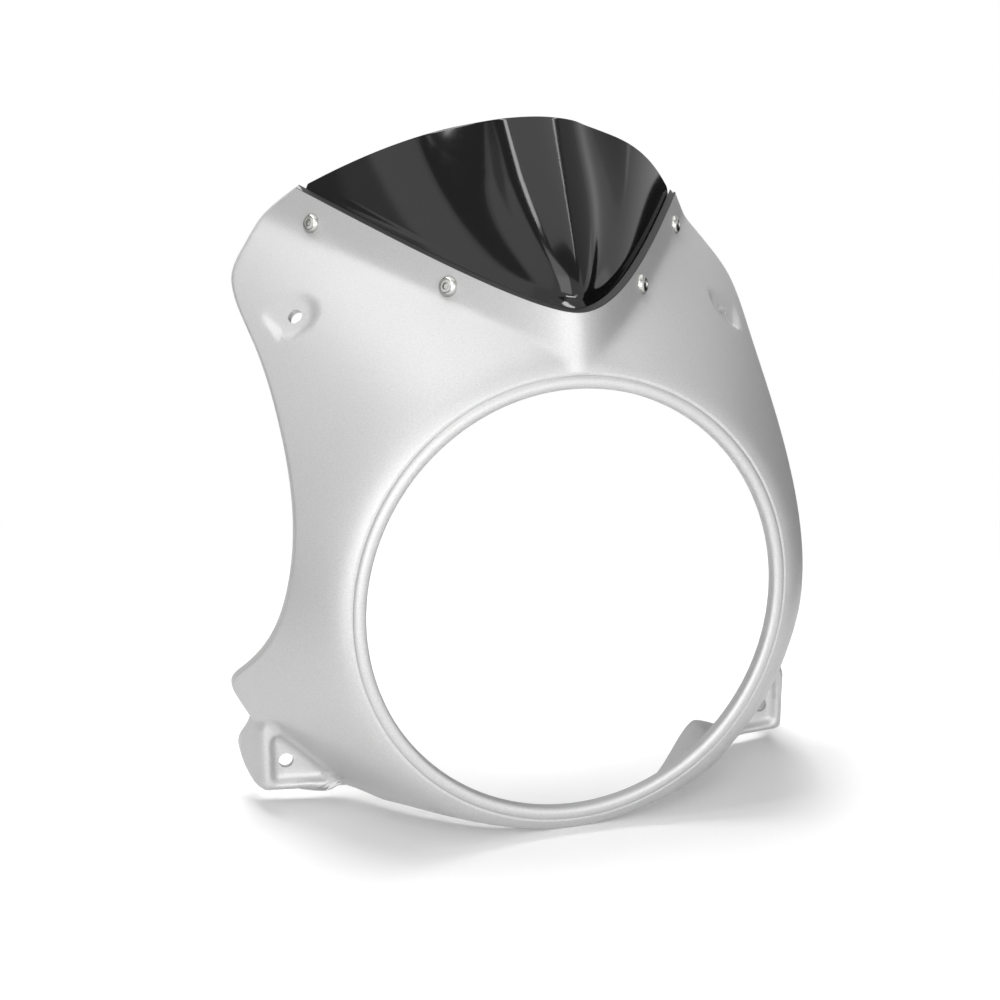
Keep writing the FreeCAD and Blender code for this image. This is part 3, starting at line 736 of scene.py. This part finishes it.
def finish_piece(piece, name, material, nodes):
    """Names a finished piece, gives it its material, hides the solids that it stands for and puts it under
    the root body.
    """
    piece.name = name
    piece.data.name = name
    piece.data.materials.clear()
    piece.data.materials.append(material)
    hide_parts(*nodes)
    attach(piece, "root")


def sheet_of(rows):
    """A quad mesh over a grid of points, made from a grid primitive and welded where it closes."""
    count, width = rows.shape[:2]
    start_piece()
    bpy.ops.mesh.primitive_grid_add(x_subdivisions=width - 1, y_subdivisions=count - 1, size=1.0)
    piece = bpy.context.object
    piece.data.vertices.foreach_set("co", (rows.reshape(-1, 3) * MM).ravel())
    bpy.ops.object.mode_set(mode="EDIT")
    bpy.ops.mesh.select_all(action="SELECT")
    bpy.ops.mesh.remove_doubles(threshold=0.01 * MM)
    bpy.ops.mesh.normals_make_consistent(inside=False)
    bpy.ops.object.mode_set(mode="OBJECT")
    return piece


def cut_hole(piece, radius, centre, axis, reach):
    """Cuts a round hole through a piece."""
    start_piece()
    bpy.ops.mesh.primitive_cylinder_add(vertices=48, radius=radius * MM, depth=reach * MM)
    tool = bpy.context.object
    turn = Vector(axis).to_track_quat("Z", "Y").to_matrix().to_4x4()
    tool.data.transform(Matrix.Translation(Vector(centre) * MM) @ turn)
    bpy.context.view_layer.objects.active = piece
    cut = piece.modifiers.new("Hole", "BOOLEAN")
    cut.object = tool
    cut.operation = "DIFFERENCE"
    cut.solver = "EXACT"
    bpy.ops.object.modifier_apply(modifier="Hole")
    bpy.data.objects.remove(tool)


class ScreenForm:
    """The front of the screen: a band along the shell's back, then a sweep with a raised nose."""

    def __init__(self, settings, shell_settings):
        self.shell = ShellForm(shell_settings, 0.0)
        self.distance = (shell_settings.wall + settings.gap) / MM

    def band(self, x, z):
        """Y of the band's front, at the gap behind the shell's back."""
        return behind(self.shell.outer_form, x, z, self.distance)

    def front(self, x, z):
        """Y of the screen's front."""
        band = self.band(x, z)
        above = np.maximum(z - CUT_HEIGHT - CUT_RISE * band, 0)
        across = np.minimum(np.abs(x) / SCREEN_END, 1)
        sweep = SWEEP_SLOPE * np.cos(pi * across / 2) ** 2 * above * above / (above + SWEEP_BEND)
        # The nose widens from the V upwards, with a shoulder down each side and a shallow valley beyond
        widening = np.clip(above / NOSE_LENGTH, 0, 1)
        half = NOSE_TIP + (NOSE_HALF - NOSE_TIP) * widening * (2 - widening)
        height = NOSE_HEIGHT * (above / (above + NOSE_START))
        nose = height / (1 + np.exp((np.abs(x) - half) / NOSE_SHOULDER))
        crown = NOSE_CROWN * widening * np.exp(-((x / np.maximum(half, 1)) ** 2))
        valley = VALLEY_DEPTH * widening * np.exp(-(((np.abs(x) - half - VALLEY_AWAY) / VALLEY_WIDTH) ** 2))
        step = STEP_HEIGHT / (1 + np.exp(-(above - STEP_AWAY) / STEP_SOFTNESS))
        return band + sweep - nose - crown + valley - step

    def places(self, columns, rows):
        """X and Z of a grid over the screen, from the hidden lower edge of the band to the top edge."""
        across = np.linspace(-1, 1, columns)
        low = np.full(columns, 60.0)
        high = np.full(columns, 200.0)
        for _ in range(40):
            middle = (low + high) / 2
            y = self.front(across * SCREEN_EAR[0], middle)
            above = middle > CUT_HEIGHT - SCREEN_BAND + CUT_RISE * y
            high = np.where(above, middle, high)
            low = np.where(above, low, middle)
        bottom = (low + high) / 2
        top = SCREEN_TOP - SCREEN_TOP_FALL * (across * SCREEN_END) ** 2
        part = np.linspace(0, 1, rows)[:, None]
        z = bottom + (top - bottom) * part
        end = SCREEN_TOP - SCREEN_TOP_FALL * SCREEN_END ** 2
        narrowing = np.clip((z - SCREEN_EAR[1]) / (end - SCREEN_EAR[1]), 0, 1)
        x = across * (SCREEN_EAR[0] + (SCREEN_END - SCREEN_EAR[0]) * narrowing)
        return x, z


class CowlBuildShell(bpy.types.Operator):
    """Builds the moulded shell with its bead, V cut, sunk pads, tabs and turned-back edge"""

    bl_idname = "cowl.build_shell"
    bl_label = "Build Shell"

    def execute(self, context):
        settings = context.scene.cowl_shell
        right = shell_sections(settings)
        left = right[:, ::-1] * np.array([-1, 1, 1])
        rows = np.concatenate([right, left[:, 1:]], axis=1)
        rows = np.concatenate([rows, rows[:1]], axis=0)
        shell = sheet_of(rows)
        form = ShellForm(settings, 0.0)
        for side in (1, -1):
            normal = (form.pad_normal.x * side, form.pad_normal.y, form.pad_normal.z)
            place = (PAD_HOLE[0] * side, PAD_HOLE[1], PAD_HOLE[2])
            cut_hole(shell, settings.pad_hole_radius / MM, place, normal, 16.0)
            place = (TAB_HOLE[0] * side, TAB_LAND_Y + POCKET_DEPTH, TAB_HOLE[1])
            cut_hole(shell, settings.tab_hole_radius / MM, place, (0, 1, 0), 14.0)
        start_piece()
        shell.select_set(True)
        context.view_layer.objects.active = shell
        bpy.ops.object.shade_smooth_by_angle(angle=radians(38))
        finish_piece(shell, "shell", satin_silver_paint(settings.paint), ["cowl_shell"])
        return {"FINISHED"}


class CowlBuildScreen(bpy.types.Operator):
    """Builds the smoked screen with its raised nose and the band behind the shell"""

    bl_idname = "cowl.build_screen"
    bl_label = "Build Screen"

    def execute(self, context):
        settings = context.scene.cowl_screen
        form = ScreenForm(settings, context.scene.cowl_shell)
        x, z = form.places(221, 121)
        rows = np.stack([x, form.front(x, z), z], -1)
        screen = sheet_of(rows)
        wall = screen.modifiers.new("Wall", "SOLIDIFY")
        wall.thickness = settings.wall
        wall.offset = -1.0
        wall.use_even_offset = True
        rim = screen.modifiers.new("Rim", "BEVEL")
        rim.width = settings.edge_radius
        rim.segments = 3
        rim.limit_method = "ANGLE"
        rim.angle_limit = radians(50)
        for name in ("Wall", "Rim"):
            bpy.ops.object.modifier_apply(modifier=name)
        bpy.ops.object.shade_smooth_by_angle(angle=radians(40))
        finish_piece(screen, "screen_sheet", smoked_acrylic(settings.tint), ["screen"])
        return {"FINISHED"}


def button_head(settings):
    """A domed head with a hexagonal socket, made along +Z from its seat."""
    start_piece()
    rim = HEAD_RIM * MM
    bpy.ops.mesh.primitive_cylinder_add(vertices=64, radius=settings.head_radius, depth=rim)
    head = bpy.context.object
    head.data.transform(Matrix.Translation((0, 0, rim / 2)))
    top = max(head.data.polygons, key=lambda face: face.center.z).index
    bpy.ops.object.mode_set(mode="EDIT")
    bpy.ops.mesh.select_mode(type="FACE")
    bpy.ops.mesh.select_all(action="DESELECT")
    bpy.ops.object.mode_set(mode="OBJECT")
    head.data.polygons[top].select = True
    bpy.ops.object.mode_set(mode="EDIT")
    start = np.array((settings.head_radius, rim))
    shoulder = np.array(HEAD_SHOULDER) * MM
    crown = np.array((HEAD_CROWN * MM, settings.head_height))
    before = start
    for t in np.linspace(0, 1, 10)[1:]:
        here = (1 - t) ** 2 * start + 2 * t * (1 - t) * shoulder + t * t * crown
        bpy.ops.mesh.extrude_region_move(TRANSFORM_OT_translate={"value": (0, 0, here[1] - before[1])})
        bpy.ops.transform.resize(value=(here[0] / before[0], here[0] / before[0], 1.0))
        before = here
    bpy.ops.object.mode_set(mode="OBJECT")
    bpy.ops.mesh.primitive_cylinder_add(vertices=6, radius=settings.socket / sqrt(3),
                                        depth=settings.head_height)
    socket = bpy.context.object
    # Turned so that a corner lies on X, as in the solid
    lift = settings.head_height * 1.5 - settings.socket_depth
    socket.data.transform(Matrix.Translation((0, 0, lift)) @ Matrix.Rotation(radians(30), 4, "Z"))
    bpy.context.view_layer.objects.active = head
    cut = head.modifiers.new("Socket", "BOOLEAN")
    cut.object = socket
    cut.solver = "EXACT"
    bpy.ops.object.modifier_apply(modifier="Socket")
    bpy.data.objects.remove(socket)
    edges = head.modifiers.new("Edges", "BEVEL")
    edges.width = 0.12 * MM
    edges.segments = 2
    edges.limit_method = "ANGLE"
    edges.angle_limit = radians(40)
    bpy.ops.object.modifier_apply(modifier="Edges")
    return head


def threaded_shank(settings):
    """The shank with its thread, which rises by one pitch a turn and ends inside the head."""
    pitch, crest = THREAD_PITCH, settings.shank_radius / MM
    root = crest - THREAD_DEPTH
    bottom = -settings.shank_length / MM
    turns = int((HEAD_RIM - bottom) / pitch)
    profile = np.array([(root, 0.0), (root, 0.12), (crest, 0.45), (crest, 0.55), (root, 0.88), (root, 1.0)])
    angles = np.linspace(0, 2 * pi * turns, 24 * turns + 1)
    height = bottom + pitch * (profile[None, :, 1] - 1 + angles[:, None] / (2 * pi))
    height = np.maximum(height, bottom)
    radius = np.broadcast_to(profile[:, 0], height.shape)
    rows = np.stack([radius * np.cos(angles)[:, None], radius * np.sin(angles)[:, None], height], -1)
    shank = sheet_of(rows)
    bpy.ops.object.mode_set(mode="EDIT")
    bpy.ops.mesh.select_all(action="SELECT")
    bpy.ops.mesh.fill_holes(sides=0)
    bpy.ops.mesh.normals_make_consistent(inside=False)
    bpy.ops.object.mode_set(mode="OBJECT")
    return shank


def seat_of_screw(place, form):
    """Turn and place of a screw, with +Z along the shell's normal."""
    kind, side = place.split("_")
    x, z = SCREW_PLACES[kind]
    along_x, along_z = slopes(form.outer_form, x, z)
    normal = Vector((along_x, -1.0, along_z)).normalized()
    seat = Vector((x, float(form.outer_form(x, z)), z)) - normal * SEAT_DEPTH
    if side == "left":
        normal.x, seat.x = -normal.x, -seat.x
    turn = Vector((0, 0, 1)).rotation_difference(normal).to_matrix().to_4x4()
    return Matrix.Translation(seat * MM) @ turn


class CowlBuildFasteners(bpy.types.Operator):
    """Builds the screws that hold the screen, and gives their washers and nuts a finish"""

    bl_idname = "cowl.build_fasteners"
    bl_label = "Build Fasteners"

    def execute(self, context):
        settings = context.scene.cowl_screws
        steel, zinc, nylon = bright_steel(settings.steel), zinc_plate(), natural_nylon()
        head = button_head(settings)
        shank = threaded_shank(settings)
        start_piece()
        shank.select_set(True)
        head.select_set(True)
        context.view_layer.objects.active = head
        bpy.ops.object.join()
        bpy.ops.object.shade_smooth_by_angle(angle=radians(32))
        form = ShellForm(context.scene.cowl_shell, 0.0)
        for place in PLACES:
            screw = bpy.data.objects.new("screw_" + place, head.data.copy())
            context.collection.objects.link(screw)
            screw.data.transform(seat_of_screw(place, form))
            finish_piece(screw, "screw_" + place, steel, ["screen_screw_" + place])
            for kind, material in (("washer", nylon), ("nut", zinc)):
                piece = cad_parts["screen_" + kind + "_" + place]
                piece.data.materials.clear()
                piece.data.materials.append(material)
        bpy.data.objects.remove(head)
        return {"FINISHED"}


def area_lamp(name, place, aim, size, watts):
    """A soft rectangular lamp, turned towards what it lights."""
    start_piece()
    bpy.ops.object.light_add(type="AREA", location=place)
    lamp = bpy.context.object
    lamp.name = name
    lamp.data.shape = "RECTANGLE"
    lamp.data.size, lamp.data.size_y = size
    lamp.data.energy = watts
    lamp.rotation_euler = (Vector(aim) - Vector(place)).to_track_quat("-Z", "Y").to_euler()
    return lamp


def grey_card(name, centre, across, along, grey):
    """A lit card out of the camera's sight that only reflections show, given by its two sides."""
    start_piece()
    bpy.ops.mesh.primitive_plane_add(size=1.0)
    card = bpy.context.object
    card.name = name
    across, along = Vector(across), Vector(along)
    sides = Matrix((across, along, across.cross(along).normalized())).transposed()
    card.data.transform(Matrix.Translation(centre) @ sides.to_4x4())
    material, tree = new_material(name)
    glow = node(tree, "ShaderNodeEmission", Color=WHITE, Strength=grey)
    node(tree, "ShaderNodeOutputMaterial", {"Surface": glow.outputs["Emission"]})
    card.data.materials.append(material)
    card.visible_camera = False
    card.visible_diffuse = False
    card.visible_shadow = False
    card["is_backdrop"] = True


def seen_directly(tree):
    """1 for what the camera sees itself, or in a reflection or through glass."""
    path = node(tree, "ShaderNodeLightPath")
    direct = node(tree, "ShaderNodeMath",
                  {0: path.outputs["Is Camera Ray"], 1: path.outputs["Is Glossy Ray"]}, operation="MAXIMUM")
    seen = node(tree, "ShaderNodeMath", {0: direct.outputs["Value"], 1: path.outputs["Is Transmission Ray"]},
                operation="MAXIMUM")
    return seen.outputs["Value"]


class CowlBuildStudio(bpy.types.Operator):
    """Builds the white floor, the soft lamps and the camera"""

    bl_idname = "cowl.build_studio"
    bl_label = "Build Studio"

    def execute(self, context):
        settings = context.scene.cowl_studio
        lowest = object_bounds()[0][2]
        start_piece()
        bpy.ops.mesh.primitive_plane_add(size=12.0, location=(0, 0, lowest))
        floor = context.object
        floor.name = "studio_floor"
        floor.data.materials.append(self.white_floor(settings.floor))
        floor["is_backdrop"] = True
        self.white_world(context.scene)
        for card in CARDS:
            grey_card(*card)
        above = area_lamp("above", (-0.12, 0.36, 1.55), (0, 0.05, 0.0), (1.1, 0.8), settings.above)
        above.visible_glossy = False
        area_lamp("front", (-0.28, -1.34, 0.06), (0, 0.05, -0.04), (1.3, 0.30), settings.front)
        area_lamp("key", (-0.60, -1.05, 0.95), (0, 0.05, 0.05), (1.0, 0.8), settings.key)
        area_lamp("side", (-1.40, 0.10, 0.60), (0, 0.05, 0.05), (1.6, 1.2), settings.side)
        start_piece()
        bpy.ops.object.camera_add(location=CAMERA_PLACE)
        camera = context.object
        camera.rotation_euler = Vector(CAMERA_AIM).to_track_quat("-Z", "Y").to_euler()
        camera.data.lens = CAMERA_LENS
        camera.data.sensor_width = 36.0
        context.scene.camera = camera
        context.scene.view_settings.view_transform = "Standard"
        return {"FINISHED"}

    def white_floor(self, floor_colour):
        """Matt white floor that the camera sees as white, with the object's shadow on it."""
        material, tree = new_material("white_floor")
        seen = seen_directly(tree)
        # Beyond the shadow, from 0.35 m to 0.8 m away, the paper runs into pure white
        place = node(tree, "ShaderNodeTexCoord").outputs["Object"]
        away = node(tree, "ShaderNodeVectorMath", {0: place}, operation="LENGTH")
        white = node(tree, "ShaderNodeMapRange", {"Value": away.outputs["Value"]},
                     interpolation_type="SMOOTHSTEP", From_Min=0.35, From_Max=0.8, To_Min=0.0, To_Max=1.0)
        share = node(tree, "ShaderNodeMath", {0: seen, 1: white.outputs["Result"]}, operation="MULTIPLY")
        # What the floor throws back at the object is held to a plain level
        path = node(tree, "ShaderNodeLightPath")
        paper = node(tree, "ShaderNodeMix", {"Factor": path.outputs["Is Diffuse Ray"]}, data_type="RGBA")
        paper.inputs[6].default_value = floor_colour
        paper.inputs[7].default_value = [0.85 * c for c in floor_colour[:3]] + [1.0]
        diffuse = node(tree, "ShaderNodeBsdfDiffuse", {"Color": paper.outputs[2]})
        # Where the floor is seen it gives a little of the white itself, so the lamps needn't
        lift = node(tree, "ShaderNodeMath", {0: seen}, operation="MULTIPLY")
        lift.inputs[1].default_value = FLOOR_LIFT
        near = node(tree, "ShaderNodeEmission", {"Strength": lift.outputs["Value"]}, Color=WHITE)
        lit_paper = node(tree, "ShaderNodeAddShader",
                         {0: diffuse.outputs["BSDF"], 1: near.outputs["Emission"]})
        glow = node(tree, "ShaderNodeEmission", Color=WHITE, Strength=1.0)
        both = node(tree, "ShaderNodeMixShader",
                    {0: share.outputs["Value"], 1: lit_paper.outputs["Shader"], 2: glow.outputs["Emission"]})
        node(tree, "ShaderNodeOutputMaterial", {"Surface": both.outputs["Shader"]})
        return material

    def white_world(self, scene):
        """Soft grey surroundings for light, white where the camera or a reflection sees them."""
        world = bpy.data.worlds.new("studio")
        world.use_nodes = True
        tree = world.node_tree
        tree.nodes.clear()
        seen = seen_directly(tree)
        soft = node(tree, "ShaderNodeBackground", Color=(*[WORLD_GREY] * 3, 1.0), Strength=1.0)
        white = node(tree, "ShaderNodeBackground", Color=WHITE, Strength=1.0)
        mixed = node(tree, "ShaderNodeMixShader", {"Fac": seen, 1: soft.outputs["Background"],
                                                   2: white.outputs["Background"]})
        node(tree, "ShaderNodeOutputWorld", {"Surface": mixed.outputs["Shader"]})
        scene.world = world


class CowlPanel(bpy.types.Panel):
    """Lists the cowl's pieces and their settings"""

    bl_idname = "VIEW3D_PT_cowl"
    bl_label = "Cowl"
    bl_space_type = "VIEW_3D"
    bl_region_type = "UI"
    bl_category = "Cowl"

    def draw(self, context):
        layout = self.layout
        for group, operator in GROUPS:
            box = layout.box()
            box.operator(operator)
            settings = getattr(context.scene, group)
            for name in settings.__annotations__:
                box.prop(settings, name)


GROUPS = (
    ("cowl_shell", "cowl.build_shell"),
    ("cowl_screen", "cowl.build_screen"),
    ("cowl_screws", "cowl.build_fasteners"),
    ("cowl_studio", "cowl.build_studio"),
)
SETTINGS = {
    "cowl_shell": CowlShellSettings,
    "cowl_screen": CowlScreenSettings,
    "cowl_screws": CowlScrewSettings,
    "cowl_studio": CowlStudioSettings,
}
BUILDERS = (CowlBuildShell, CowlBuildScreen, CowlBuildFasteners, CowlBuildStudio)
CLASSES = (*SETTINGS.values(), *BUILDERS, CowlPanel)


def register():
    """Makes the settings, operators and panel known."""
    for made in CLASSES:
        bpy.utils.register_class(made)
    for name, group in SETTINGS.items():
        setattr(bpy.types.Scene, name, bpy.props.PointerProperty(type=group))


def unregister():
    """Takes them away again."""
    for name in SETTINGS:
        delattr(bpy.types.Scene, name)
    for made in reversed(CLASSES):
        bpy.utils.unregister_class(made)


def main():
    """Builds everything."""
    register()
    bpy.ops.cowl.build_shell()
    bpy.ops.cowl.build_screen()
    bpy.ops.cowl.build_fasteners()
    bpy.ops.cowl.build_studio()


if __name__ == "__main__":
    main()
